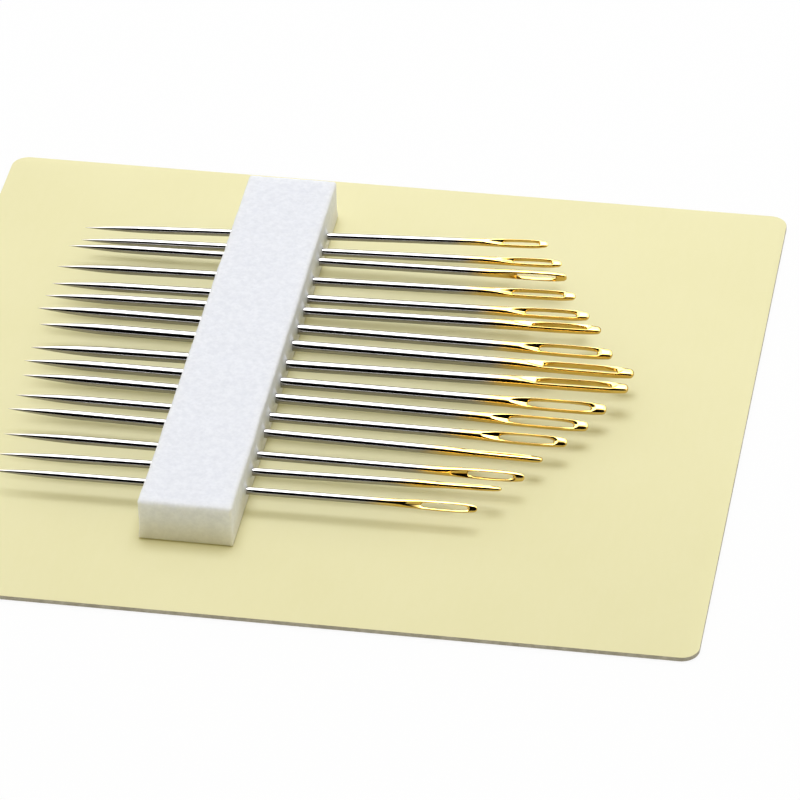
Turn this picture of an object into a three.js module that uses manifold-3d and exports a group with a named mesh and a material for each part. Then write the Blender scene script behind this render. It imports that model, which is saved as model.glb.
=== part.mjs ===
// A card of embroidery needles: sixteen gold-eyed needles of graded size are pushed through a foam strip
// that is taped across a paperboard card. Millimetres, +Z up, +X from the points towards the eyes.
// The origin is the middle of the card's underside.

import * as THREE from 'three';
import { mergeVertices } from 'three/addons/utils/BufferGeometryUtils.js';
import Module from 'manifold-3d';

const wasm = await Module();
wasm.setup();

// Foam strip
const FOAM_WIDTH = 8; // along the needles
const FOAM_LENGTH = 49; // along the row of needles
const FOAM_HEIGHT = 3.85;
const HOLE_GAP = 0.06; // between a needle and the hole that it made

// Tape under the foam
const TAPE_THICKNESS = 0.1;
const TAPE_INSET = 0.4; // from the foam's edges

// Card, sized by the margins that it keeps round the foam and the needles
const CARD_THICKNESS = 0.4;
const CARD_CORNER = 1.5;
const MARGIN_NEAR = 9.1; // past the end of the foam at -Y
const MARGIN_FAR = 5.6; // past the end of the foam at +Y
const MARGIN_POINTS = 8;
const MARGIN_EYES = 10;

// Needle sizes, from the finest, size 0, up
const SHORTEST_LENGTH = 41.5;
const LENGTH_STEP = 1.5;
const FINEST_GAUGE = 0.64; // shaft diameter
const GAUGE_STEP = 0.045;
const POINT_TAPER = 7; // length of the tapered point
const PLATED_NECK = 1.3; // gold on the plain shaft, before the head starts to swell

// Needle eyes
const EYE_UNDER_GAUGE = 0.14; // how much narrower than the shaft the hole is
const EYE_SQUARENESS = 2.6; // 2 is an ellipse, and more is nearer a rectangle
const SHORTEST_CROWN = 0.8; // solid metal past the hole
const CROWN_STEP = 0.09;
const CROWN_ROUNDING = 0.3; // length of the rounded end
const CROWN_THINNING = 0.07; // on each face
const HEAD_FLATTENING = 0.16; // thickness of the head under the shaft's
const HEAD_SHOULDER = 1.4; // length over which the swelling starts, before the gutter
const RAIL_WIDTH = 0.17; // metal on each side of the hole, where the head is widest
const GUTTER_LENGTH = 1.6; // groove that leads thread into the hole
const GUTTER_RUN_IN = 0.7; // how far past the start of the hole it is deepest
const GUTTER_WEB = 0.16; // metal left between the grooves of the two faces
const GUTTER_SIDE = 0.06; // how much narrower than the hole a gutter is, on each side

// The row: the first needle is at the +Y end. Each leaves the foam at mid height, and the row is even but
// for each needle's own shift, a share of the distance between needles. Reach is how far the eye end stands
// out of the foam, and eye is the length of the hole. Yaw turns the needle towards +Y, lift raises its eye,
// and roll turns the eye's face from straight up towards -Y, in degrees.
const ROW_INSET = 5.5; // from the foam's ends to the first and last needle
const ROW = [
  { size: 0, reach: 19.8, eye: 3.2, shift: -0.24, yaw: 2.2, lift: 1.5, roll: 20 },
  { size: 1, reach: 21.4, eye: 3.4, shift: -0.20, yaw: 1.3, lift: 1.2, roll: 14 },
  { size: 2, reach: 22.1, eye: 3.4, shift: 0.20, yaw: 0.7, lift: 0.7, roll: 95 },
  { size: 3, reach: 23.3, eye: 4.5, shift: 0.00, yaw: 1.0, lift: 0.9, roll: 14 },
  { size: 4, reach: 24.9, eye: 4.4, shift: -0.08, yaw: 0.9, lift: 0.8, roll: 18 },
  { size: 5, reach: 26.2, eye: 4.8, shift: 0.16, yaw: 0.8, lift: 0.8, roll: -4 },
  { size: 6, reach: 27.6, eye: 5.0, shift: 0.12, yaw: 0.2, lift: 0.0, roll: 22 },
  { size: 7, reach: 29.8, eye: 6.4, shift: 0.16, yaw: 0.0, lift: 0.0, roll: 2 },
  { size: 7, reach: 29.7, eye: 6.5, shift: 0.00, yaw: 0.3, lift: 0.8, roll: 0 },
  { size: 6, reach: 28.2, eye: 5.4, shift: 0.00, yaw: 0.0, lift: 0.0, roll: 28 },
  { size: 5, reach: 27.0, eye: 5.5, shift: 0.08, yaw: -0.3, lift: -0.2, roll: 30 },
  { size: 4, reach: 25.6, eye: 4.6, shift: 0.00, yaw: -0.1, lift: 0.0, roll: 34 },
  { size: 3, reach: 23.9, eye: 4.5, shift: 0.08, yaw: -0.5, lift: -0.3, roll: -26 },
  { size: 2, reach: 22.8, eye: 3.8, shift: -0.16, yaw: 0.1, lift: 0.1, roll: 72 },
  { size: 1, reach: 21.2, eye: 3.5, shift: -0.08, yaw: 0.8, lift: 0.6, roll: -30 },
  { size: 0, reach: 19.6, eye: 3.9, shift: -0.12, yaw: 0.3, lift: 0.3, roll: 58 },
];

// Fineness of the faceted solids
const NEEDLE_SIDES = 12;
const POINT_RINGS = 4;
const SHOULDER_RINGS = 5;
const CROWN_RINGS = 5;
const EYE_SEGMENTS = 20;
const GUTTER_SIDES = 6;
const CORNER_SEGMENTS = 4;

const PAPERBOARD = new THREE.MeshStandardMaterial({ color: 0xf1e6a6, roughness: 0.75, metalness: 0 });
const TAPE = new THREE.MeshStandardMaterial({ color: 0xf2eee0, roughness: 0.6, metalness: 0 });
const FOAM = new THREE.MeshStandardMaterial({ color: 0xeff1f5, roughness: 0.9, metalness: 0 });
const NICKEL = new THREE.MeshStandardMaterial({ color: 0xb9b6b0, roughness: 0.2, metalness: 1 });
const GOLD = new THREE.MeshStandardMaterial({ color: 0xdcb04c, roughness: 0.2, metalness: 1 });

// Joining and cutting of closed meshes

function toSolid(geometry) {
  const bare = geometry.clone();
  bare.deleteAttribute('normal');
  bare.deleteAttribute('uv');
  const merged = mergeVertices(bare);
  return new wasm.Manifold(new wasm.Mesh({
    numProp: 3,
    vertProperties: new Float32Array(merged.attributes.position.array),
    triVerts: new Uint32Array(merged.index.array),
  }));
}

function toGeometry(solid) {
  const mesh = solid.getMesh();
  const geometry = new THREE.BufferGeometry();
  geometry.setAttribute('position', new THREE.BufferAttribute(mesh.vertProperties, 3));
  geometry.setIndex(new THREE.BufferAttribute(mesh.triVerts, 1));
  geometry.computeVertexNormals();
  return geometry;
}

function cut(geometry, tools) {
  let solid = toSolid(geometry);
  for (const tool of tools) solid = solid.subtract(toSolid(tool));
  return toGeometry(solid);
}

// One needle's own sizes, from its size number and its place in the row

function measure(needle, index) {
  const length = SHORTEST_LENGTH + LENGTH_STEP * needle.size;
  const gauge = FINEST_GAUGE + GAUGE_STEP * needle.size;
  const crown = SHORTEST_CROWN + CROWN_STEP * needle.size;
  const eyeStart = needle.reach - crown - needle.eye;
  const headStart = eyeStart - GUTTER_LENGTH - HEAD_SHOULDER;
  const eyeHalf = (gauge - EYE_UNDER_GAUGE) / 2;
  const pitch = (FOAM_LENGTH - 2 * ROW_INSET) / (ROW.length - 1);
  return {
    ...needle,
    length,
    gauge,
    eyeStart,
    eyeHalf,
    headStart,
    name: `needle_${String(index + 1).padStart(2, '0')}`,
    point: needle.reach - length,
    platingStart: headStart - PLATED_NECK,
    eyeMiddle: eyeStart + needle.eye / 2,
    crownEnd: needle.reach - CROWN_ROUNDING,
    headHalf: eyeHalf + RAIL_WIDTH,
    headThickness: gauge - HEAD_FLATTENING,
    row: FOAM_LENGTH / 2 - ROW_INSET - pitch * (index - needle.shift),
  };
}

const needles = ROW.map(measure);
const longestReach = Math.max(...needles.map((needle) => needle.reach));
const longestTail = Math.max(...needles.map((needle) => needle.length - needle.reach - FOAM_WIDTH));

// Layout of the card under the foam and the needles

const cardLength = MARGIN_POINTS + longestTail + FOAM_WIDTH + longestReach + MARGIN_EYES;
const cardWidth = MARGIN_NEAR + FOAM_LENGTH + MARGIN_FAR;
const foamFace = cardLength / 2 - MARGIN_EYES - longestReach; // where the needles leave the foam
const foamX = foamFace - FOAM_WIDTH / 2;
const foamY = (MARGIN_NEAR - MARGIN_FAR) / 2;
const foamBottom = CARD_THICKNESS + TAPE_THICKNESS;
const needleHeight = foamBottom + FOAM_HEIGHT / 2;

function placeAtRoot(object, needle, roll) {
  object.position.set(foamFace, foamY + needle.row, needleHeight);
  object.rotation.set(
    THREE.MathUtils.degToRad(roll),
    THREE.MathUtils.degToRad(-needle.lift),
    THREE.MathUtils.degToRad(needle.yaw),
    'ZYX',
  );
  object.updateMatrix();
  return object;
}

// Card and tape

function makeCard() {
  const outline = new THREE.Shape();
  const x = cardLength / 2;
  const y = cardWidth / 2;
  const r = CARD_CORNER;
  outline.absarc(x - r, y - r, r, 0, Math.PI / 2);
  outline.absarc(r - x, y - r, r, Math.PI / 2, Math.PI);
  outline.absarc(r - x, r - y, r, Math.PI, 1.5 * Math.PI);
  outline.absarc(x - r, r - y, r, 1.5 * Math.PI, 2 * Math.PI);
  const geometry = new THREE.ExtrudeGeometry(outline, {
    depth: CARD_THICKNESS,
    bevelEnabled: false,
    curveSegments: CORNER_SEGMENTS,
  });
  return new THREE.Mesh(geometry, PAPERBOARD);
}

function makeTape() {
  const geometry = new THREE.BoxGeometry(
    FOAM_WIDTH - 2 * TAPE_INSET,
    FOAM_LENGTH - 2 * TAPE_INSET,
    TAPE_THICKNESS,
  );
  const tape = new THREE.Mesh(geometry, TAPE);
  tape.position.set(foamX, foamY, CARD_THICKNESS + TAPE_THICKNESS / 2);
  return tape;
}

// Foam strip, with one hole for each needle in the needle's own direction

function makeFoam() {
  const block = new THREE.BoxGeometry(FOAM_WIDTH, FOAM_LENGTH, FOAM_HEIGHT);
  block.translate(foamX, foamY, foamBottom + FOAM_HEIGHT / 2);
  const holes = needles.map((needle) => {
    const radius = (needle.gauge / 2 + HOLE_GAP) / Math.cos(Math.PI / NEEDLE_SIDES);
    const hole = new THREE.CylinderGeometry(radius, radius, 2 * FOAM_WIDTH, NEEDLE_SIDES);
    hole.rotateZ(-Math.PI / 2);
    hole.translate(-FOAM_WIDTH / 2, 0, 0);
    return hole.applyMatrix4(placeAtRoot(new THREE.Object3D(), needle, 0).matrix);
  });
  return new THREE.Mesh(cut(block, holes), FOAM);
}

// A needle lies along its own X axis, with 0 where it leaves the foam

function turnAlongX(profile) {
  const points = profile.map(([x, radius]) => new THREE.Vector2(radius, x));
  return new THREE.LatheGeometry(points, NEEDLE_SIDES).rotateZ(-Math.PI / 2);
}

function makeShaft(needle) {
  const radius = needle.gauge / 2;
  const profile = [];
  for (let ring = 0; ring <= POINT_RINGS; ring += 1) {
    const t = ring / POINT_RINGS;
    profile.push([needle.point + POINT_TAPER * t, radius * (1 - (1 - t) ** 2)]);
  }
  profile.push([needle.platingStart, radius], [needle.platingStart, 0]);
  return new THREE.Mesh(turnAlongX(profile), NICKEL);
}

// Half the head's width and thickness at a place along the needle: it swells from the round shaft to its
// widest in the middle of the eye, and draws in to a crown as wide as the hole.

function headSection(needle, x) {
  const radius = needle.gauge / 2;
  const rise = THREE.MathUtils.smoothstep(x, needle.headStart, needle.eyeMiddle);
  const flat = THREE.MathUtils.smoothstep(x, needle.headStart, needle.eyeStart);
  const drawnIn = (x - needle.eyeMiddle) / (needle.crownEnd - needle.eyeMiddle);
  const fall = THREE.MathUtils.clamp(drawnIn, 0, 1) ** 2;
  return {
    width: THREE.MathUtils.lerp(radius, needle.headHalf, rise) - RAIL_WIDTH * fall,
    thickness: THREE.MathUtils.lerp(radius, needle.headThickness / 2, flat) - CROWN_THINNING * fall,
  };
}

function makeHeadBlank(needle) {
  const stations = [needle.platingStart];
  for (let ring = 0; ring < SHOULDER_RINGS; ring += 1) {
    stations.push(THREE.MathUtils.lerp(needle.headStart, needle.eyeMiddle, ring / SHOULDER_RINGS));
  }
  for (let ring = 0; ring <= CROWN_RINGS; ring += 1) {
    stations.push(THREE.MathUtils.lerp(needle.eyeMiddle, needle.crownEnd, ring / CROWN_RINGS));
  }
  const unit = [[needle.platingStart, 0], ...stations.map((x) => [x, 1])];
  unit.push([needle.reach - CROWN_ROUNDING / 4, Math.SQRT1_2], [needle.reach, 0]);
  const blank = turnAlongX(unit);
  const position = blank.attributes.position;
  for (let i = 0; i < position.count; i += 1) {
    const section = headSection(needle, position.getX(i));
    position.setY(i, position.getY(i) * section.width);
    position.setZ(i, position.getZ(i) * section.thickness);
  }
  return blank;
}

// The hole is an ellipse with squared-off ends, straight through the head.

function squareOff(cosine) {
  return Math.sign(cosine) * Math.abs(cosine) ** (2 / EYE_SQUARENESS);
}

function makeEyeTool(needle) {
  const halfLength = needle.eye / 2;
  const points = [];
  for (let i = 0; i < EYE_SEGMENTS; i += 1) {
    const angle = (2 * Math.PI * i) / EYE_SEGMENTS;
    points.push(new THREE.Vector2(
      needle.eyeMiddle + halfLength * squareOff(Math.cos(angle)),
      needle.eyeHalf * squareOff(Math.sin(angle)),
    ));
  }
  const depth = 2 * needle.gauge;
  const tool = new THREE.ExtrudeGeometry(new THREE.Shape(points), { depth, bevelEnabled: false });
  return tool.translate(0, 0, -depth / 2);
}

// A gutter is a cone that lies half sunk in the face, with its apex towards the shaft and its base in the
// hole.

function makeGutterTool(needle, side) {
  const halfWidth = needle.eyeHalf - GUTTER_SIDE;
  const depth = (needle.headThickness - GUTTER_WEB) / 2;
  const length = GUTTER_LENGTH + GUTTER_RUN_IN;
  const cone = new THREE.ConeGeometry(1, length, GUTTER_SIDES);
  cone.rotateZ(Math.PI / 2);
  cone.scale(1, halfWidth, depth);
  return cone.translate(needle.eyeStart - GUTTER_LENGTH + length / 2, 0, side * needle.headThickness / 2);
}

function makeEye(needle) {
  const tools = [makeEyeTool(needle), makeGutterTool(needle, 1), makeGutterTool(needle, -1)];
  return new THREE.Mesh(cut(makeHeadBlank(needle), tools), GOLD);
}

function makeNeedle(needle) {
  const group = placeAtRoot(new THREE.Group(), needle, needle.roll);
  const shaft = makeShaft(needle);
  const eye = makeEye(needle);
  shaft.name = `${needle.name}_shaft`;
  eye.name = `${needle.name}_eye`;
  group.add(shaft, eye);
  return group;
}

const card = makeCard();
card.name = 'backing_card';
const tape = makeTape();
tape.name = 'adhesive_tape';
const foam = makeFoam();
foam.name = 'foam_strip';

const needleCard = new THREE.Group();
needleCard.add(card, tape, foam, ...needles.map(makeNeedle));

export default needleCard;
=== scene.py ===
import math

import bmesh
import bpy
from mathutils import Euler, Matrix, Vector, noise


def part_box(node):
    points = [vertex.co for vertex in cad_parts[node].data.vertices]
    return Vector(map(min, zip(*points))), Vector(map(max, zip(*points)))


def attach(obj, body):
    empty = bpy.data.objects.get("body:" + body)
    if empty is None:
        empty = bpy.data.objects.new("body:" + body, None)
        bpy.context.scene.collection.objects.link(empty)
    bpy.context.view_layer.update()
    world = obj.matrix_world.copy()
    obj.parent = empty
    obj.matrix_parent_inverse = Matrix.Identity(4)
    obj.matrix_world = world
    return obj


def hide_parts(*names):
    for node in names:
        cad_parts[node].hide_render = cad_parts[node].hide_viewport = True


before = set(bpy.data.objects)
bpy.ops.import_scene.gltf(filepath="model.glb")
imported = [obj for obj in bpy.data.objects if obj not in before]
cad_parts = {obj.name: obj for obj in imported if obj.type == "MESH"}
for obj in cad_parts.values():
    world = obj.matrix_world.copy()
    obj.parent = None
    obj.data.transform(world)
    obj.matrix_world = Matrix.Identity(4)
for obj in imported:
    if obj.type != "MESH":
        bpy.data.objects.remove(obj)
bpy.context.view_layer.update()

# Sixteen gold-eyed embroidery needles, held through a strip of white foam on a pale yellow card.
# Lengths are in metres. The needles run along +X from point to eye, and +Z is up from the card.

card_low, card_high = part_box("backing_card")
foam_low, foam_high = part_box("foam_strip")

MM = 0.001
QUARTER_TURN = math.pi / 2

# The row of needles: they pass through the foam at half its height, sixteen places along it
NEEDLE_COUNT = 16
ROW_INSET = 5.5 * MM
SHORTEST_LENGTH = 41.5 * MM
LENGTH_STEP = 1.5 * MM
FINEST_GAUGE = 0.64 * MM
GAUGE_STEP = 0.045 * MM
SHORTEST_CROWN = 0.8 * MM
CROWN_STEP = 0.09 * MM

# How every needle is shaped: point, shoulder, gutter, eye and crown
POINT_TAPER = 7 * MM
POINT_CROWDING = 1.5
POINT_FULLNESS = 2
PLATED_NECK = 1.3 * MM
HEAD_SHOULDER = 1.4 * MM
GUTTER_LENGTH = 1.6 * MM
EYE_UNDER_GAUGE = 0.14 * MM
EYE_SQUARENESS = 2.6
RAIL_WIDTH = 0.17 * MM
RAIL_CREST = 0.05 * MM
RAIL_BEVEL = 0.16
HEAD_SQUARENESS = 2.45
HEAD_FLATTENING = 0.16 * MM
CROWN_ROUNDING = 0.4 * MM
CROWN_THINNING = 0.07 * MM
CROWN_NARROWING = 0.11 * MM
CROWN_LATENESS = 4
CROWN_BLUNTNESS = 2.1
CROWN_GUTTER = 0.5
WEB_SHARE = 0.16
WEB_LENGTH = 0.07 * MM
GUTTER_START_ANGLE = math.radians(70)

# Each needle from the +Y end: its size, its reach and eye length in mm, its shift in shares of the
# spacing, and its yaw, lift and roll in degrees
ROW = (
    (0, 19.8, 3.2, -0.24, 2.2, 1.5, 20),
    (1, 21.4, 3.4, -0.20, 1.3, 1.2, 14),
    (2, 22.1, 3.4, 0.20, 0.7, 0.7, 95),
    (3, 23.3, 4.5, 0.00, 1.0, 0.9, 14),
    (4, 24.9, 4.4, -0.08, 0.9, 0.8, 18),
    (5, 26.2, 4.8, 0.16, 0.8, 0.8, -4),
    (6, 27.6, 5.0, 0.12, 0.2, 0.0, 22),
    (7, 29.8, 6.4, 0.16, 0.0, 0.0, 2),
    (7, 29.7, 6.5, 0.00, 0.3, 0.8, 0),
    (6, 28.2, 5.4, 0.00, 0.0, 0.0, 28),
    (5, 27.0, 5.5, 0.08, -0.3, -0.2, 30),
    (4, 25.6, 4.6, 0.00, -0.1, 0.0, 34),
    (3, 23.9, 4.5, 0.08, -0.5, -0.3, -26),
    (2, 22.8, 3.8, -0.16, 0.1, 0.1, 72),
    (1, 21.2, 3.5, -0.08, 0.8, 0.6, -30),
    (0, 19.6, 3.9, -0.12, 0.3, 0.3, 58),
)

# How finely a needle is drawn: steps along each stretch, and rows over a quarter of its section
POINT_STEPS = 14
SHAFT_STEPS = 3
SHOULDER_STEPS = 12
GUTTER_STEPS = 22
EYE_STEPS = 44
CROWN_STEPS = 16
ROUNDING_STEPS = 8
OUTER_ROWS = 11
INNER_ROWS = 8
MERGE_DISTANCE = 0.0002 * MM

# The foam: a knife-cut block that swells a little round each needle, on both faces. Its edges are less
# rounded over the lower share of its height, and near its glued foot it lies still and even
FOAM_NET = (0.25 * MM, 0.13 * MM, 0.13 * MM)
FOAM_EDGE = 0.34 * MM
FOAM_EDGE_LINES = (0, 0.15, 0.32, 0.52, 0.75, 1)
FOAM_FOOT = 0.3
FOAM_FOOT_SHARE = 0.5
FOAM_STILL_SHARE = 0.25
FOAM_WAVE = 0.05 * MM
FOAM_WAVE_LENGTH = 3.2 * MM
FOAM_PEBBLE = 0.022 * MM
FOAM_PEBBLE_LENGTH = 0.55 * MM
FOAM_SMOOTH_ANGLE = 50
HOLE_GAP = 0.02 * MM
HOLE_SIDES = 24
HOLE_OVERRUN = 1.5
SWELL_HEIGHT = 0.26 * MM
SWELL_SPREAD = 0.3 * MM
SWELL_FACE = 0.5

# The card: printed board with a punched outline
CARD_CORNER = 1.5 * MM
CARD_CORNER_STEPS = 12
CARD_EDGE = 0.05 * MM
CARD_EDGE_STEPS = 2
CARD_SMOOTH_ANGLE = 40
PRINTED_FACE = 0.9

# The needles' metal: nickel, gold plate from the neck on, and lines left by the drawing of the wire.
# Here and below, waves are counted to the metre along each axis, and a span is the stretch of a noise
# over which its tone sets in
NICKEL_LIGHT = (0.35, 0.34, 0.325, 1)
NICKEL_DULL = (0.31, 0.30, 0.285, 1)
GOLD_LIGHT = (0.68, 0.48, 0.145, 1)
GOLD_DEEP = (0.60, 0.41, 0.11, 1)
METAL_CLOUD_WAVES = (420, 900, 900)
METAL_CLOUD_SPAN = (0.35, 0.7)
PLATING_WAVES = (700, 700, 700)
PLATING_DRIFT = 1.2 * MM
PLATING_FADE = (-0.7 * MM, 2.2 * MM)
LINE_WAVES = (90, 9000, 9000)
LINE_DETAIL = 3.0
LINE_BUMP = 0.12
LINE_DEPTH = 0.004 * MM
METAL_ROUGHNESS = 0.07
LINE_ROUGHNESS = 0.07
GOLD_ROUGHNESS = 0.04

# The foam's finish: fine open cells with painted shade in their pits, a cool white, and painted yellow
# shade at the foot
FOAM_LIGHT = (0.845, 0.86, 0.91, 1)
FOAM_DULL = (0.775, 0.79, 0.845, 1)
FOAM_PIT_SHADE = (0.72, 0.74, 0.79, 1)
PAINTED_FOOT_SHADE = (0.76, 0.69, 0.46, 1)
FOAM_PIT_SHADE_SHARE = 0.3
PAINTED_FOOT_SHADE_SHARE = 0.4
PAINTED_FOOT_SHADE_HEIGHT = 2.6 * MM
CELL_WAVES = 3300.0
CELL_SMOOTHNESS = 0.4
CELL_SPAN = (0.15, 0.75)
FOAM_CLOUD_WAVES = (1600, 1600, 1600)
FOAM_CLOUD_DETAIL = 3.0
FOAM_CLOUD_GRAININESS = 0.6
FOAM_CLOUD_SPAN = (0.3, 0.75)
CELL_RELIEF = 0.7
FOAM_CLOUD_RELIEF = 0.5
FOAM_BUMP = 0.35
CELL_DEPTH = 0.03 * MM
FOAM_ROUGHNESS = 0.85
FOAM_DULL_ROUGHNESS = 0.1
FOAM_SCATTER = 0.75
FOAM_SCATTER_LENGTH = 1.1 * MM

# The card's finish: fibres, clouds and grain in the print, and a grey-brown board core darkened with
# painted shade
PAPER_LIGHT = (0.845, 0.797, 0.475, 1)
PAPER_DULL = (0.83, 0.782, 0.458, 1)
PAPER_FIBRE = (0.87, 0.82, 0.52, 1)
PAPER_FIBRE_SHARE = 0.2
SHADED_CORE_DARK = (0.40, 0.37, 0.30, 1)
SHADED_CORE_LIGHT = (0.52, 0.49, 0.41, 1)
FIBRE_WAVES = (1500, 420, 1500)
FIBRE_DETAIL = 5.0
FIBRE_GRAININESS = 0.62
FIBRE_SPAN = (0.35, 0.7)
PAPER_CLOUD_WAVES = (70, 70, 70)
PAPER_CLOUD_DETAIL = 3.0
PAPER_CLOUD_SPAN = (0.3, 0.7)
GRAIN_WAVES = (5200, 5200, 5200)
FIBRE_RELIEF = 0.6
GRAIN_RELIEF = 0.4
PAPER_BUMP = 0.25
PAPER_DEPTH = 0.012 * MM
PAPER_ROUGHNESS = 0.62
FIBRE_ROUGHNESS = 0.16
MATT_SHINE = 0.04

# The tape's finish: clear white, with small bubbles in its glue
TAPE_CLEAR = (0.80, 0.78, 0.66, 1)
TAPE_BUBBLE = (0.72, 0.69, 0.55, 1)
BUBBLE_WAVES = (1800, 1800, 1800)
BUBBLE_DETAIL = 3.0
BUBBLE_SPAN = (0.4, 0.65)
BUBBLE_BUMP = 0.2
BUBBLE_DEPTH = 0.01 * MM
TAPE_ROUGHNESS = 0.28
BUBBLE_ROUGHNESS = 0.15

# Where the picture is taken from, and the studio round the card
CAMERA_PLACE = (77.45 * MM, -386.7 * MM, 286.42 * MM)
CAMERA_TURN = (53.94, 1.10, 9.72)
CAMERA_LENS = 255.84
CAMERA_CLIP = (0.01, 20)
SENSOR_WIDTH = 36
BLACK = (0, 0, 0, 1)
WHITE = (1, 1, 1, 1)
FLOOR_COLOUR = (0.95, 0.95, 0.95, 1)
FLOOR_GLOW = 0.85
FLOOR_DROP = 0.02 * MM
FLOOR_HALF = 3.0
LIGHT_HEIGHT = 1.0
LIGHT_BEHIND = 0.2
LIGHT_SIZE = 0.56
LIGHT_POWER = 4.85
LIGHT_TINT = (1, 1.05, 1.3)
FILL_FRONT = (0.38, 0.345, 0.19)
FILL_BACK = (0.82, 0.81, 0.74)
SCREEN_RADIUS = 1.2
SCREEN_HALF_LENGTH = 3.0
SCREEN_STEPS = 48
SCREEN_EDGE = math.radians(91)
SCREEN_BACK_FADE = (math.radians(-72), math.radians(-60))
SCREEN_FRONT_FADE = (math.radians(2), math.radians(24))
SCREEN_STRENGTH = 5.6
SCREEN_DIM = 0.04


class Nodes:
    """A node tree that is being built."""

    def __init__(self, tree):
        self.tree = tree

    def add(self, kind, settings=None, sockets=None, output=0):
        """Adds one node, with its settings first and then its sockets, and gives one of its outputs."""
        node = self.tree.nodes.new(kind)
        for name, value in (settings or {}).items():
            setattr(node, name, value)
        for name, value in (sockets or {}).items():
            self.feed(node.inputs[name], value)
        return Value(self, node.outputs[output]) if len(node.outputs) else None

    def feed(self, socket, value):
        """Links one value or a list of values to a socket, or sets a plain number or colour on it."""
        if isinstance(value, list):
            for each in value:
                self.tree.links.new(each.socket, socket)
        elif isinstance(value, Value):
            self.tree.links.new(value.socket, socket)
        else:
            socket.default_value = value

    def maths(self, operation, *terms):
        return self.add("ShaderNodeMath", {"operation": operation}, dict(enumerate(terms)))

    def rise(self, value, start, end, smooth=True):
        """0 before start and 1 after end."""
        kind = "SMOOTHSTEP" if smooth else "LINEAR"
        sockets = {"Value": value, "From Min": start, "From Max": end}
        return self.add("ShaderNodeMapRange", {"interpolation_type": kind}, sockets, "Result")

    def blend_colours(self, share, first, second):
        """The first colour, moved by a share of the way to the second."""
        sockets = {0: share, 6: first, 7: second}
        return self.add("ShaderNodeMix", {"data_type": "RGBA"}, sockets, 2)


class Value:
    """One socket of a tree. A sum or product of values adds the Math node that works it out."""

    def __init__(self, nodes, socket):
        self.nodes = nodes
        self.socket = socket

    def __add__(self, other):
        return self.nodes.maths("ADD", self, other)

    def __radd__(self, other):
        return self.nodes.maths("ADD", other, self)

    def __sub__(self, other):
        return self.nodes.maths("SUBTRACT", self, other)

    def __rsub__(self, other):
        return self.nodes.maths("SUBTRACT", other, self)

    def __mul__(self, other):
        return self.nodes.maths("MULTIPLY", self, other)

    def __rmul__(self, other):
        return self.nodes.maths("MULTIPLY", other, self)

    def __truediv__(self, other):
        return self.nodes.maths("DIVIDE", self, other)

    def __rtruediv__(self, other):
        return self.nodes.maths("DIVIDE", other, self)

    def __pow__(self, other):
        return self.nodes.maths("POWER", self, other)

    def __abs__(self):
        return self.nodes.maths("ABSOLUTE", self)

    def sine(self):
        return self.nodes.maths("SINE", self)

    def cosine(self):
        return self.nodes.maths("COSINE", self)

    def larger(self, other):
        return self.nodes.maths("MAXIMUM", self, other)

    def towards(self, other, share):
        """This value, moved by a share of the way to another."""
        return self + (other - self) * share


def evaluated_mesh(piece):
    """The piece's mesh with its modifiers worked out."""
    depsgraph = bpy.context.evaluated_depsgraph_get()
    return bpy.data.meshes.new_from_object(piece.evaluated_get(depsgraph))


def new_object(name, data):
    """A new object in the scene, for a mesh, a camera or a lamp."""
    item = bpy.data.objects.new(name, data)
    bpy.context.scene.collection.objects.link(item)
    return item


def new_material(name):
    """An empty procedural material and its tree."""
    material = bpy.data.materials.new(name)
    material.use_nodes = True
    material.node_tree.nodes.clear()
    return material, Nodes(material.node_tree)


def finish_material(nodes, sockets):
    """Ends a material in one shader with these sockets."""
    shader = nodes.add("ShaderNodeBsdfPrincipled", {}, sockets, "BSDF")
    nodes.add("ShaderNodeOutputMaterial", {}, {"Surface": shader})


def scaled_noise(nodes, scale, detail=2.0, roughness=0.5):
    """Noise on object coordinates, with so many waves to the metre along each axis."""
    place = nodes.add("ShaderNodeTexCoord", {}, {}, "Object")
    turned = nodes.add("ShaderNodeMapping", {}, {"Vector": place, "Scale": scale})
    sockets = {"Vector": turned, "Scale": 1.0, "Detail": detail, "Roughness": roughness}
    return nodes.add("ShaderNodeTexNoise", {}, sockets, "Fac")


def bump(nodes, height, strength, distance):
    sockets = {"Height": height, "Strength": strength, "Distance": distance}
    return nodes.add("ShaderNodeBump", {}, sockets, "Normal")


def needle_metal():
    """Polished nickel that turns to gold plate towards the eye, with fine drawing lines along it."""
    material, nodes = new_material("nickel_and_gold")
    plated = nodes.add("ShaderNodeAttribute", {"attribute_name": "from_plating"}, {}, "Fac")
    drift = scaled_noise(nodes, PLATING_WAVES)
    edge = plated + (drift - 0.5) * PLATING_DRIFT
    gold = nodes.rise(edge, *PLATING_FADE)
    lines = scaled_noise(nodes, LINE_WAVES, LINE_DETAIL)
    cloud = scaled_noise(nodes, METAL_CLOUD_WAVES)
    tone = nodes.rise(cloud, *METAL_CLOUD_SPAN)
    nickel = nodes.blend_colours(tone, NICKEL_LIGHT, NICKEL_DULL)
    plate = nodes.blend_colours(tone, GOLD_LIGHT, GOLD_DEEP)
    sockets = {
        "Base Color": nodes.blend_colours(gold, nickel, plate),
        "Metallic": 1.0,
        "Roughness": METAL_ROUGHNESS + lines * LINE_ROUGHNESS + gold * GOLD_ROUGHNESS,
        "Normal": bump(nodes, lines, LINE_BUMP, LINE_DEPTH),
    }
    finish_material(nodes, sockets)
    return material


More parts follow.
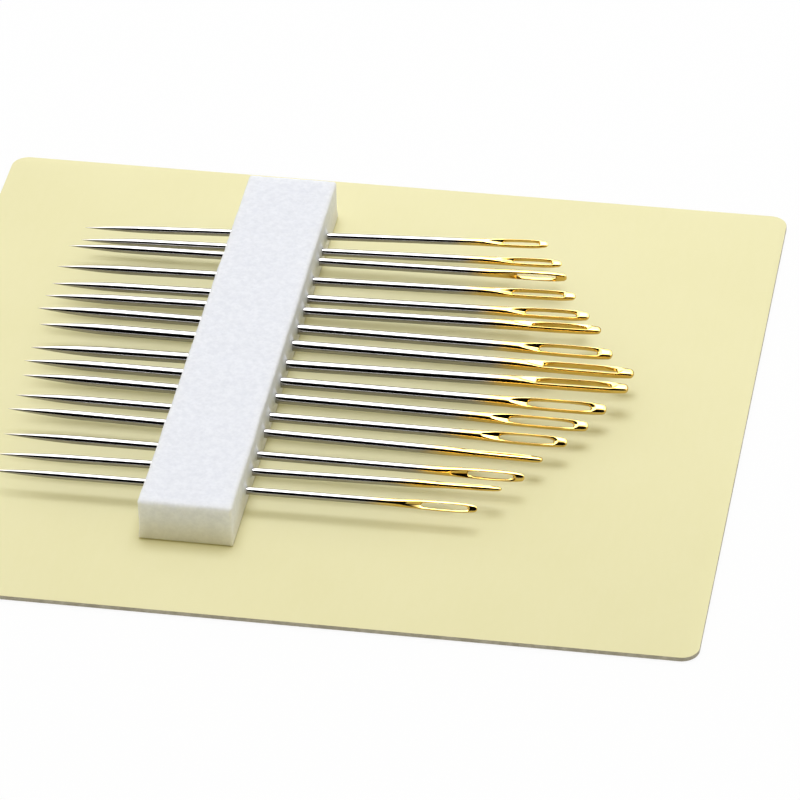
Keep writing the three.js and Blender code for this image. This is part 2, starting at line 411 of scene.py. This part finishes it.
def foam_finish():
    """White fine-cell foam: small open cells with painted shade in their pits, and painted yellow shade
    at the foot.
    """
    material, nodes = new_material("white_foam")
    place = nodes.add("ShaderNodeTexCoord", {}, {}, "Object")
    settings = {"feature": "SMOOTH_F1"}
    sockets = {"Vector": place, "Scale": CELL_WAVES, "Smoothness": CELL_SMOOTHNESS, "Randomness": 1.0}
    cells = nodes.add("ShaderNodeTexVoronoi", settings, sockets, "Distance")
    cloud = scaled_noise(nodes, FOAM_CLOUD_WAVES, FOAM_CLOUD_DETAIL, FOAM_CLOUD_GRAININESS)
    walls = nodes.rise(cells, *CELL_SPAN)
    dullness = nodes.rise(cloud, *FOAM_CLOUD_SPAN)
    white = nodes.blend_colours(dullness, FOAM_LIGHT, FOAM_DULL)
    # Painted shade in the pits of the cells: darker where the cells sink in
    pit_shaded = nodes.blend_colours((1 - walls) * FOAM_PIT_SHADE_SHARE, white, FOAM_PIT_SHADE)
    # Painted shade: darker and yellower towards the foot, standing in for the shade and the yellow light
    # bounced from the card there
    height = nodes.add("ShaderNodeSeparateXYZ", {}, {0: place}, "Z") - foam_low.z
    foot_shade = 1 - nodes.rise(height, 0, PAINTED_FOOT_SHADE_HEIGHT)
    relief = walls * CELL_RELIEF + cloud * FOAM_CLOUD_RELIEF
    sockets = {
        "Base Color": nodes.blend_colours(foot_shade * PAINTED_FOOT_SHADE_SHARE, pit_shaded, PAINTED_FOOT_SHADE),
        "Roughness": FOAM_ROUGHNESS + dullness * FOAM_DULL_ROUGHNESS,
        "Specular IOR Level": MATT_SHINE,
        "Subsurface Weight": FOAM_SCATTER,
        "Subsurface Radius": (1.0, 1.0, 1.0),
        "Subsurface Scale": FOAM_SCATTER_LENGTH,
        "Normal": bump(nodes, relief, FOAM_BUMP, CELL_DEPTH),
    }
    finish_material(nodes, sockets)
    return material


def card_finish():
    """Pale yellow printed board: faint fibres on its face, a grey-brown core along the cut edge,
    darkened as painted shade.
    """
    material, nodes = new_material("yellow_board")
    printed = nodes.add("ShaderNodeAttribute", {"attribute_name": "printed"}, {}, "Fac")
    fibres = scaled_noise(nodes, FIBRE_WAVES, FIBRE_DETAIL, FIBRE_GRAININESS)
    cloud = scaled_noise(nodes, PAPER_CLOUD_WAVES, PAPER_CLOUD_DETAIL)
    grain = scaled_noise(nodes, GRAIN_WAVES)
    tone = nodes.rise(cloud, *PAPER_CLOUD_SPAN)
    fleck = nodes.rise(fibres, *FIBRE_SPAN)
    paper = nodes.blend_colours(tone, PAPER_LIGHT, PAPER_DULL)
    face = nodes.blend_colours(fleck * PAPER_FIBRE_SHARE, paper, PAPER_FIBRE)
    # The board's grey core on the cut edge and underside, made darker as painted shade for the edge
    shaded_core = nodes.blend_colours(fleck, SHADED_CORE_DARK, SHADED_CORE_LIGHT)
    relief = fibres * FIBRE_RELIEF + grain * GRAIN_RELIEF
    sockets = {
        "Base Color": nodes.blend_colours(printed, shaded_core, face),
        "Roughness": PAPER_ROUGHNESS + fleck * FIBRE_ROUGHNESS,
        "Specular IOR Level": MATT_SHINE,
        "Normal": bump(nodes, relief, PAPER_BUMP, PAPER_DEPTH),
    }
    finish_material(nodes, sockets)
    return material


def tape_finish():
    """Thin clear-white tape with a soft gloss and small bubbles in its glue."""
    material, nodes = new_material("clear_tape")
    bubbles = scaled_noise(nodes, BUBBLE_WAVES, BUBBLE_DETAIL)
    patch = nodes.rise(bubbles, *BUBBLE_SPAN)
    sockets = {
        "Base Color": nodes.blend_colours(patch, TAPE_CLEAR, TAPE_BUBBLE),
        "Roughness": TAPE_ROUGHNESS + patch * BUBBLE_ROUGHNESS,
        "Normal": bump(nodes, bubbles, BUBBLE_BUMP, BUBBLE_DEPTH),
    }
    finish_material(nodes, sockets)
    return material


def needle_sizes(index):
    """The sizes and the place of one needle, by the names of its tree's inputs."""
    size, reach, eye, shift, yaw, lift, roll = ROW[index]
    spacing = (foam_high.y - foam_low.y - 2 * ROW_INSET) / (NEEDLE_COUNT - 1)
    row = foam_high.y - ROW_INSET - spacing * (index - shift)
    return {
        "Length": SHORTEST_LENGTH + LENGTH_STEP * size,
        "Gauge": FINEST_GAUGE + GAUGE_STEP * size,
        "Crown": SHORTEST_CROWN + CROWN_STEP * size,
        "Reach": reach * MM,
        "Eye": eye * MM,
        "Roll": math.radians(roll),
        "Lift": math.radians(lift),
        "Yaw": math.radians(yaw),
        "Root X": foam_high.x,
        "Root Y": row,
        "Root Z": (foam_low.z + foam_high.z) / 2,
    }


def needle_frame(index):
    """From a needle's own frame, with its axis along X and zero at the foam's face, to the card's."""
    sizes = needle_sizes(index)
    root = Vector((sizes["Root X"], sizes["Root Y"], sizes["Root Z"]))
    turn = Euler((sizes["Roll"], -sizes["Lift"], sizes["Yaw"]), "XYZ")
    return Matrix.Translation(root) @ turn.to_matrix().to_4x4()


def needle_tree(metal):
    """Geometry nodes for a gold-eyed needle. A quarter of its skin is drawn, then mirrored twice."""
    tree = bpy.data.node_groups.new("gold_eyed_needle", "GeometryNodeTree")
    tree.interface.new_socket(name="Needle", in_out="OUTPUT", socket_type="NodeSocketGeometry")
    for name in needle_sizes(0):
        tree.interface.new_socket(name=name, in_out="INPUT", socket_type="NodeSocketFloat")
    nodes = Nodes(tree)
    entry = tree.nodes.new("NodeGroupInput")
    given = {name: Value(nodes, entry.outputs[name]) for name in needle_sizes(0)}
    reach = given["Reach"]
    eye = given["Eye"]
    radius = given["Gauge"] / 2

    # Places along the needle, from point to crown
    point = reach - given["Length"]
    eye_end = reach - given["Crown"]
    eye_start = eye_end - eye
    eye_middle = eye_end - eye / 2
    gutter_start = eye_start - GUTTER_LENGTH
    head_start = gutter_start - HEAD_SHOULDER
    crown_end = reach - CROWN_ROUNDING
    straight = head_start - point - POINT_TAPER

    # A grid with a spacing of one gives the station along the needle and the row over its quarter
    steps = (
        POINT_STEPS,
        SHAFT_STEPS,
        SHOULDER_STEPS,
        GUTTER_STEPS,
        EYE_STEPS,
        CROWN_STEPS,
        ROUNDING_STEPS,
    )
    last_station = sum(steps)
    last_row = OUTER_ROWS + INNER_ROWS
    sockets = {
        "Size X": last_station,
        "Size Y": last_row,
        "Vertices X": last_station + 1,
        "Vertices Y": last_row + 1,
    }
    grid = nodes.add("GeometryNodeMeshGrid", {}, sockets, "Mesh")
    position = nodes.add("GeometryNodeInputPosition")
    station = nodes.add("ShaderNodeSeparateXYZ", {}, {0: position}, "X") + last_station / 2
    row = nodes.add("ShaderNodeSeparateXYZ", {}, {0: position}, "Y") + last_row / 2

    # How far each stretch has been walked at a station
    starts = [sum(steps[:number]) for number in range(len(steps))]
    taper_walk, shaft_walk, shoulder_walk, gutter_walk, eye_walk, crown_walk, end_walk = [
        nodes.rise(station, start, start + count, smooth=False)
        for start, count in zip(starts, steps)
    ]
    taper_walk = taper_walk ** POINT_CROWDING
    eye_walk = (1 - (eye_walk * math.pi).cosine()) / 2
    end_walk = (end_walk * QUARTER_TURN).sine()
    along = point + taper_walk * POINT_TAPER + shaft_walk * straight
    along = along + shoulder_walk * HEAD_SHOULDER + gutter_walk * GUTTER_LENGTH
    along = along + eye_walk * eye + crown_walk * (crown_end - eye_end) + end_walk * CROWN_ROUNDING

    # The outside: round shaft, wider and flatter at the eye, drawn to a point and closed at the crown
    eye_half = radius - EYE_UNDER_GAUGE / 2
    fall = nodes.rise(along, eye_middle, crown_end, smooth=False) ** CROWN_LATENESS
    widening = nodes.rise(along, head_start, eye_middle)
    width = radius.towards(eye_half + RAIL_WIDTH, widening) - fall * CROWN_NARROWING
    flattening = nodes.rise(along, head_start, eye_start)
    depth = radius - flattening * (HEAD_FLATTENING / 2) - fall * CROWN_THINNING
    tip = 1 - (1 - taper_walk) ** POINT_FULLNESS
    closing = (1 - end_walk ** CROWN_BLUNTNESS).larger(0) ** (1 / CROWN_BLUNTNESS)
    width = width * tip * closing
    depth = depth * tip * closing

    # The eye: half its width at a station, and how far the gutters at its two ends have opened
    offset = abs((along - eye_middle) / (eye / 2))
    hole = eye_half * ((1 - offset ** EYE_SQUARENESS).larger(0) ** (1 / EYE_SQUARENESS))
    inlet = nodes.rise(along, gutter_start, eye_start, smooth=False)
    inlet_web = nodes.rise(along, eye_start - WEB_LENGTH, eye_start)
    outlet_end = eye_end.towards(crown_end, CROWN_GUTTER)
    outlet = 1 - nodes.rise(along, eye_end, outlet_end, smooth=False)
    outlet_web = 1 - nodes.rise(along, eye_end, eye_end + WEB_LENGTH)
    opened = inlet * (1 - WEB_SHARE) + inlet_web * WEB_SHARE
    closed_again = outlet * (1 - WEB_SHARE) + outlet_web * WEB_SHARE
    groove = opened * closed_again

    # The crest between the outside and the gutter or eye wall
    crest_share = (eye_half + RAIL_CREST) / (eye_half + RAIL_WIDTH)
    crest_at_eye = nodes.maths("ARCCOSINE", crest_share ** (HEAD_SQUARENESS / 2))
    spread = nodes.rise(along, gutter_start, eye_start) * (1 - nodes.rise(along, eye_end, outlet_end))
    crest = crest_at_eye * spread + GUTTER_START_ANGLE * (1 - spread)

    # The skin's quarter: out over the section to the crest, then down bevel and wall to the middle
    outer = nodes.rise(row, 0, OUTER_ROWS, smooth=False)
    inner = nodes.rise(row, OUTER_ROWS, last_row, smooth=False)
    power = 2 / (2 + flattening * (HEAD_SQUARENESS - 2))
    angle = crest * outer + (QUARTER_TURN - crest) * inner
    round_y = width * angle.cosine().larger(0) ** power
    round_z = depth * angle.sine() ** power
    bevel = nodes.rise(inner, 0, 0.5, smooth=False)
    wall = nodes.rise(inner, 0.5, 1, smooth=False)
    crest_y = width * crest.cosine() ** power
    crest_z = depth * crest.sine() ** power
    bevel_depth = 0.5 - hole / eye_half * (0.5 - RAIL_BEVEL)
    sunk = bevel * bevel_depth + wall * (1 - bevel_depth)
    wall_y = crest_y.towards(hole, bevel * (1 - bevel_depth) + wall * bevel_depth)
    wall_z = crest_z * (1 - sunk)
    in_wall = nodes.maths("GREATER_THAN", row, OUTER_ROWS + 0.5) * groove
    skin = nodes.add(
        "ShaderNodeCombineXYZ",
        {},
        {"X": along, "Y": round_y.towards(wall_y, in_wall), "Z": round_z.towards(wall_z, in_wall)},
    )
    sockets = {"Geometry": grid, "Name": "from_plating", "Value": along - (head_start - PLATED_NECK)}
    settings = {"data_type": "FLOAT", "domain": "POINT"}
    marked = nodes.add("GeometryNodeStoreNamedAttribute", settings, sockets)
    quarter = nodes.add("GeometryNodeSetPosition", {}, {"Geometry": marked, "Position": skin})

    # Mirrored across and down, joined, and set in its place in the row
    across = nodes.add("GeometryNodeTransform", {}, {"Geometry": quarter, "Scale": (1, -1, 1)})
    upper = nodes.add("GeometryNodeJoinGeometry", {}, {"Geometry": [quarter, across]})
    under = nodes.add("GeometryNodeTransform", {}, {"Geometry": upper, "Scale": (1, 1, -1)})
    whole = nodes.add("GeometryNodeJoinGeometry", {}, {"Geometry": [upper, under]})
    whole = nodes.add("GeometryNodeMergeByDistance", {}, {"Geometry": whole, "Distance": MERGE_DISTANCE})
    turn = nodes.add(
        "ShaderNodeCombineXYZ", {}, {"X": given["Roll"], "Y": 0 - given["Lift"], "Z": given["Yaw"]}
    )
    root = nodes.add(
        "ShaderNodeCombineXYZ", {}, {"X": given["Root X"], "Y": given["Root Y"], "Z": given["Root Z"]}
    )
    placed = nodes.add(
        "GeometryNodeTransform", {}, {"Geometry": whole, "Translation": root, "Rotation": turn}
    )
    smooth = nodes.add("GeometryNodeSetShadeSmooth", {}, {"Geometry": placed})
    real = nodes.add("GeometryNodeRealizeInstances", {}, {"Geometry": smooth})
    dressed = nodes.add("GeometryNodeSetMaterial", {}, {"Geometry": real, "Material": metal})
    nodes.add("NodeGroupOutput", {}, {"Needle": dressed})
    return tree


def make_needle(index, tree, metal):
    """One needle as a plain mesh, with its place in its mesh."""
    piece = new_object(f"gold_eyed_needle_{index + 1:02d}", bpy.data.meshes.new("needle"))
    modifier = piece.modifiers.new("needle", "NODES")
    modifier.node_group = tree
    sizes = needle_sizes(index)
    for item in tree.interface.items_tree:
        if item.in_out == "INPUT":
            modifier[item.identifier] = sizes[item.name]
    mesh = evaluated_mesh(piece)
    piece.modifiers.clear()
    piece.data = mesh
    shape = bmesh.new()
    shape.from_mesh(mesh)
    bmesh.ops.recalc_face_normals(shape, faces=shape.faces)
    shape.to_mesh(mesh)
    shape.free()
    return piece


def net_lines(low, high, spacing):
    """Places of the net's lines along one side of the foam, closer together at its rounded edges."""
    edge = [FOAM_EDGE * share for share in FOAM_EDGE_LINES]
    count = math.ceil((high - low - 2 * FOAM_EDGE) / spacing)
    step = (high - low - 2 * FOAM_EDGE) / count
    middle = [low + FOAM_EDGE + step * number for number in range(1, count)]
    return [low + place for place in edge] + middle + [high - place for place in reversed(edge)]


def foam_point(place, roots, ends):
    """A point of the plain block, moved to the cut, pierced and slightly uneven surface."""
    height = (place.z - foam_low.z) / (foam_high.z - foam_low.z)
    edge = FOAM_EDGE * (FOAM_FOOT + (1 - FOAM_FOOT) * min(1, height / FOAM_FOOT_SHARE))
    inside = Vector([
        min(max(value, low + edge), high - edge)
        for value, low, high in zip(place, foam_low, foam_high)
    ])
    outward = (place - inside).normalized()
    point = inside + outward * edge
    loose = min(1, height / FOAM_STILL_SHARE)
    wave = noise.noise(place / FOAM_WAVE_LENGTH) * FOAM_WAVE
    pebble = noise.noise(place / FOAM_PEBBLE_LENGTH) * FOAM_PEBBLE
    point += outward * (wave + pebble - FOAM_WAVE) * loose
    if abs(outward.x) > SWELL_FACE:
        for middle, radius in roots if outward.x > 0 else ends:
            distance = math.hypot(place.y - middle.y, place.z - middle.z)
            swell = SWELL_HEIGHT * math.exp(-(((distance - radius) / SWELL_SPREAD) ** 2))
            point.x += math.copysign(swell, outward.x)
    return point


def foam_skin(roots, ends):
    """The outside of the foam as a fine net of faces."""
    lines = [net_lines(*side) for side in zip(foam_low, foam_high, FOAM_NET)]
    last = [len(line) - 1 for line in lines]
    shape = bmesh.new()
    corners = {}

    def corner(spot):
        if spot not in corners:
            place = Vector([lines[axis][spot[axis]] for axis in range(3)])
            corners[spot] = shape.verts.new(foam_point(place, roots, ends))
        return corners[spot]

    for axis in range(3):
        one, other = [each for each in range(3) if each != axis]
        for side in (0, last[axis]):
            for first in range(last[one]):
                for second in range(last[other]):
                    spots = []
                    for step_one, step_other in ((0, 0), (1, 0), (1, 1), (0, 1)):
                        spot = [side, side, side]
                        spot[one] = first + step_one
                        spot[other] = second + step_other
                        spots.append(corner(tuple(spot)))
                    shape.faces.new(spots)
    bmesh.ops.recalc_face_normals(shape, faces=shape.faces)
    mesh = bpy.data.meshes.new("foam")
    shape.to_mesh(mesh)
    shape.free()
    return mesh


def needle_holes():
    """Sixteen rods, a little thicker than the needles, that are cut out of the foam."""
    shape = bmesh.new()
    depth = foam_high.x - foam_low.x
    for index in range(NEEDLE_COUNT):
        middle = Matrix.Translation((-depth / 2, 0, 0)) @ Matrix.Rotation(QUARTER_TURN, 4, "Y")
        radius = needle_sizes(index)["Gauge"] / 2 + HOLE_GAP
        bmesh.ops.create_cone(
            shape,
            cap_ends=True,
            segments=HOLE_SIDES,
            radius1=radius,
            radius2=radius,
            depth=depth * HOLE_OVERRUN,
            matrix=needle_frame(index) @ middle,
        )
    mesh = bpy.data.meshes.new("holes")
    shape.to_mesh(mesh)
    shape.free()
    return new_object("holes", mesh)


def smooth_faces(mesh, limit):
    """Smooth shading, with edges kept that are sharper than a limit in degrees."""
    shape = bmesh.new()
    shape.from_mesh(mesh)
    for face in shape.faces:
        face.smooth = True
    for edge in shape.edges:
        edge.smooth = edge.calc_face_angle(0) < math.radians(limit)
    shape.to_mesh(mesh)
    shape.free()


def make_foam(finish):
    """The foam strip, with its sixteen needle holes."""
    depth = foam_high.x - foam_low.x
    roots = []
    ends = []
    for index in range(NEEDLE_COUNT):
        place = needle_frame(index)
        radius = needle_sizes(index)["Gauge"] / 2
        roots.append((place.translation, radius))
        ends.append((place @ Vector((-depth, 0, 0)), radius))
    piece = new_object("pierced_foam", foam_skin(roots, ends))
    rods = needle_holes()
    cut = piece.modifiers.new("holes", "BOOLEAN")
    cut.operation = "DIFFERENCE"
    cut.solver = "EXACT"
    cut.object = rods
    mesh = evaluated_mesh(piece)
    piece.modifiers.clear()
    bpy.data.objects.remove(rods)
    piece.data = mesh
    mesh.materials.clear()
    mesh.materials.append(finish)
    smooth_faces(mesh, FOAM_SMOOTH_ANGLE)
    return piece


def card_outline():
    """The card's outline with rounded corners, in order."""
    points = []
    centres = (
        (card_high.x - CARD_CORNER, card_high.y - CARD_CORNER),
        (card_low.x + CARD_CORNER, card_high.y - CARD_CORNER),
        (card_low.x + CARD_CORNER, card_low.y + CARD_CORNER),
        (card_high.x - CARD_CORNER, card_low.y + CARD_CORNER),
    )
    for number, (x, y) in enumerate(centres):
        for step in range(CARD_CORNER_STEPS + 1):
            angle = QUARTER_TURN * (number + step / CARD_CORNER_STEPS)
            points.append((x + CARD_CORNER * math.cos(angle), y + CARD_CORNER * math.sin(angle)))
    return points


def make_card(finish):
    """The backing card: a punched board with a slightly crushed edge, printed on its upper face."""
    shape = bmesh.new()
    face = shape.faces.new([shape.verts.new((x, y, card_high.z)) for x, y in card_outline()])
    grown = bmesh.ops.extrude_face_region(shape, geom=[face])
    lowered = [item for item in grown["geom"] if isinstance(item, bmesh.types.BMVert)]
    bmesh.ops.translate(shape, verts=lowered, vec=(0, 0, card_low.z - card_high.z))
    bmesh.ops.recalc_face_normals(shape, faces=shape.faces)
    rim = [edge for edge in shape.edges if abs(edge.verts[0].co.z - edge.verts[1].co.z) < CARD_EDGE]
    bmesh.ops.bevel(
        shape, geom=rim, offset=CARD_EDGE, segments=CARD_EDGE_STEPS, profile=0.5, affect="EDGES"
    )
    printed = shape.faces.layers.float.new("printed")
    for face in shape.faces:
        face[printed] = 1.0 if face.normal.z > PRINTED_FACE else 0.0
    mesh = bpy.data.meshes.new("card")
    shape.to_mesh(mesh)
    shape.free()
    mesh.materials.append(finish)
    smooth_faces(mesh, CARD_SMOOTH_ANGLE)
    return new_object("yellow_card", mesh)


def make_camera():
    """The camera at the picture's own viewing angle."""
    lens = bpy.data.cameras.new("camera")
    lens.lens = CAMERA_LENS
    lens.sensor_width = SENSOR_WIDTH
    lens.clip_start, lens.clip_end = CAMERA_CLIP
    camera = new_object("camera", lens)
    camera.location = CAMERA_PLACE
    camera.rotation_euler = [math.radians(angle) for angle in CAMERA_TURN]
    bpy.context.scene.camera = camera


def shown_as_background(nodes):
    """1 for what the camera sees directly, in metal or through glass, and 0 for light on surfaces."""
    camera = nodes.add("ShaderNodeLightPath", {}, {}, "Is Camera Ray")
    glossy = nodes.add("ShaderNodeLightPath", {}, {}, "Is Glossy Ray")
    through = nodes.add("ShaderNodeLightPath", {}, {}, "Is Transmission Ray")
    scattered = nodes.add("ShaderNodeLightPath", {}, {}, "Diffuse Depth")
    return camera.larger(glossy).larger(through) * nodes.maths("LESS_THAN", scattered, 0.5)


def make_floor():
    """A plain white floor that keeps a faint shadow."""
    half = FLOOR_HALF
    drop = card_low.z - FLOOR_DROP
    mesh = bpy.data.meshes.new("floor")
    corners = [(-half, -half, drop), (half, -half, drop), (half, half, drop), (-half, half, drop)]
    mesh.from_pydata(corners, [], [(0, 1, 2, 3)])
    material, nodes = new_material("white_floor")
    matt = nodes.add("ShaderNodeBsdfDiffuse", {}, {"Color": FLOOR_COLOUR})
    bright = nodes.add("ShaderNodeEmission", {}, {"Color": WHITE, "Strength": 1.0})
    share = shown_as_background(nodes) * FLOOR_GLOW
    surface = nodes.add("ShaderNodeMixShader", {}, {0: share, 1: matt, 2: bright})
    nodes.add("ShaderNodeOutputMaterial", {}, {"Surface": surface})
    mesh.materials.append(material)
    new_object("floor", mesh)


def make_world():
    """A white studio behind the picture, and a soft light on the surfaces, stronger from behind."""
    world = bpy.data.worlds.new("studio")
    world.use_nodes = True
    world.node_tree.nodes.clear()
    nodes = Nodes(world.node_tree)
    direction = nodes.add("ShaderNodeTexCoord", {}, {}, "Generated")
    behind = nodes.add("ShaderNodeSeparateXYZ", {}, {0: direction}, "Y")
    share = nodes.rise(behind, -1, 1, smooth=False)
    glow = nodes.blend_colours(share, (*FILL_FRONT, 1), (*FILL_BACK, 1))
    fill = nodes.add("ShaderNodeBackground", {}, {"Color": glow, "Strength": 1.0})
    white = nodes.add("ShaderNodeBackground", {}, {"Color": WHITE, "Strength": 1.0})
    light = nodes.add("ShaderNodeMixShader", {}, {0: shown_as_background(nodes), 1: fill, 2: white})
    nodes.add("ShaderNodeOutputWorld", {}, {"Surface": light})
    bpy.context.scene.world = world


def make_light():
    """One soft box overhead, a little behind the card."""
    lamp = bpy.data.lights.new("soft_box", "AREA")
    lamp.size = LIGHT_SIZE
    lamp.energy = LIGHT_POWER
    lamp.color = LIGHT_TINT
    light = new_object("soft_box", lamp)
    light.location = (0, LIGHT_BEHIND, LIGHT_HEIGHT)
    light.rotation_euler = (-math.atan2(LIGHT_BEHIND, LIGHT_HEIGHT), 0, 0)
    light.visible_camera = False


def make_screen():
    """A curved screen that only polished metal shows: dim behind, bright overhead, black in front."""
    rows = []
    for step in range(SCREEN_STEPS + 1):
        angle = SCREEN_EDGE * (2 * step / SCREEN_STEPS - 1)
        rows.append((-SCREEN_RADIUS * math.sin(angle), SCREEN_RADIUS * math.cos(angle)))
    points = [(side * SCREEN_HALF_LENGTH, y, z) for y, z in rows for side in (-1, 1)]
    faces = [(2 * step, 2 * step + 1, 2 * step + 3, 2 * step + 2) for step in range(SCREEN_STEPS)]
    mesh = bpy.data.meshes.new("screen")
    mesh.from_pydata(points, [], faces)
    material, nodes = new_material("studio_screen")
    place = nodes.add("ShaderNodeTexCoord", {}, {}, "Object")
    behind = nodes.add("ShaderNodeSeparateXYZ", {}, {0: place}, "Y")
    above = nodes.add("ShaderNodeSeparateXYZ", {}, {0: place}, "Z")
    angle = nodes.maths("ARCTAN2", 0 - behind, above)
    lit = nodes.rise(angle, *SCREEN_BACK_FADE)
    faded = nodes.rise(angle, *SCREEN_FRONT_FADE)
    level = lit * (1 - faded) + (1 - lit) * SCREEN_DIM
    colour = nodes.blend_colours(level, BLACK, WHITE)
    shown = shown_as_background(nodes) * SCREEN_STRENGTH
    glow = nodes.add("ShaderNodeEmission", {}, {"Color": colour, "Strength": shown})
    nodes.add("ShaderNodeOutputMaterial", {}, {"Surface": glow})
    mesh.materials.append(material)
    screen = new_object("screen", mesh)
    screen.visible_camera = False
    screen.visible_diffuse = False
    screen.visible_transmission = False
    screen.visible_volume_scatter = False
    screen.visible_shadow = False


make_camera()
make_world()
make_light()
make_screen()
make_floor()

metal = needle_metal()
tree = needle_tree(metal)
for index in range(NEEDLE_COUNT):
    body = f"needle_{index + 1:02d}"
    needle = make_needle(index, tree, metal)
    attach(needle, body)
    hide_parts(f"{body}_shaft", f"{body}_eye")

foam = make_foam(foam_finish())
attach(foam, "card")
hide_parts("foam_strip")

card = make_card(card_finish())
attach(card, "card")
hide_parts("backing_card")

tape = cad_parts["adhesive_tape"]
tape.data.materials.clear()
tape.data.materials.append(tape_finish())

bpy.context.scene.view_settings.view_transform = "Standard"
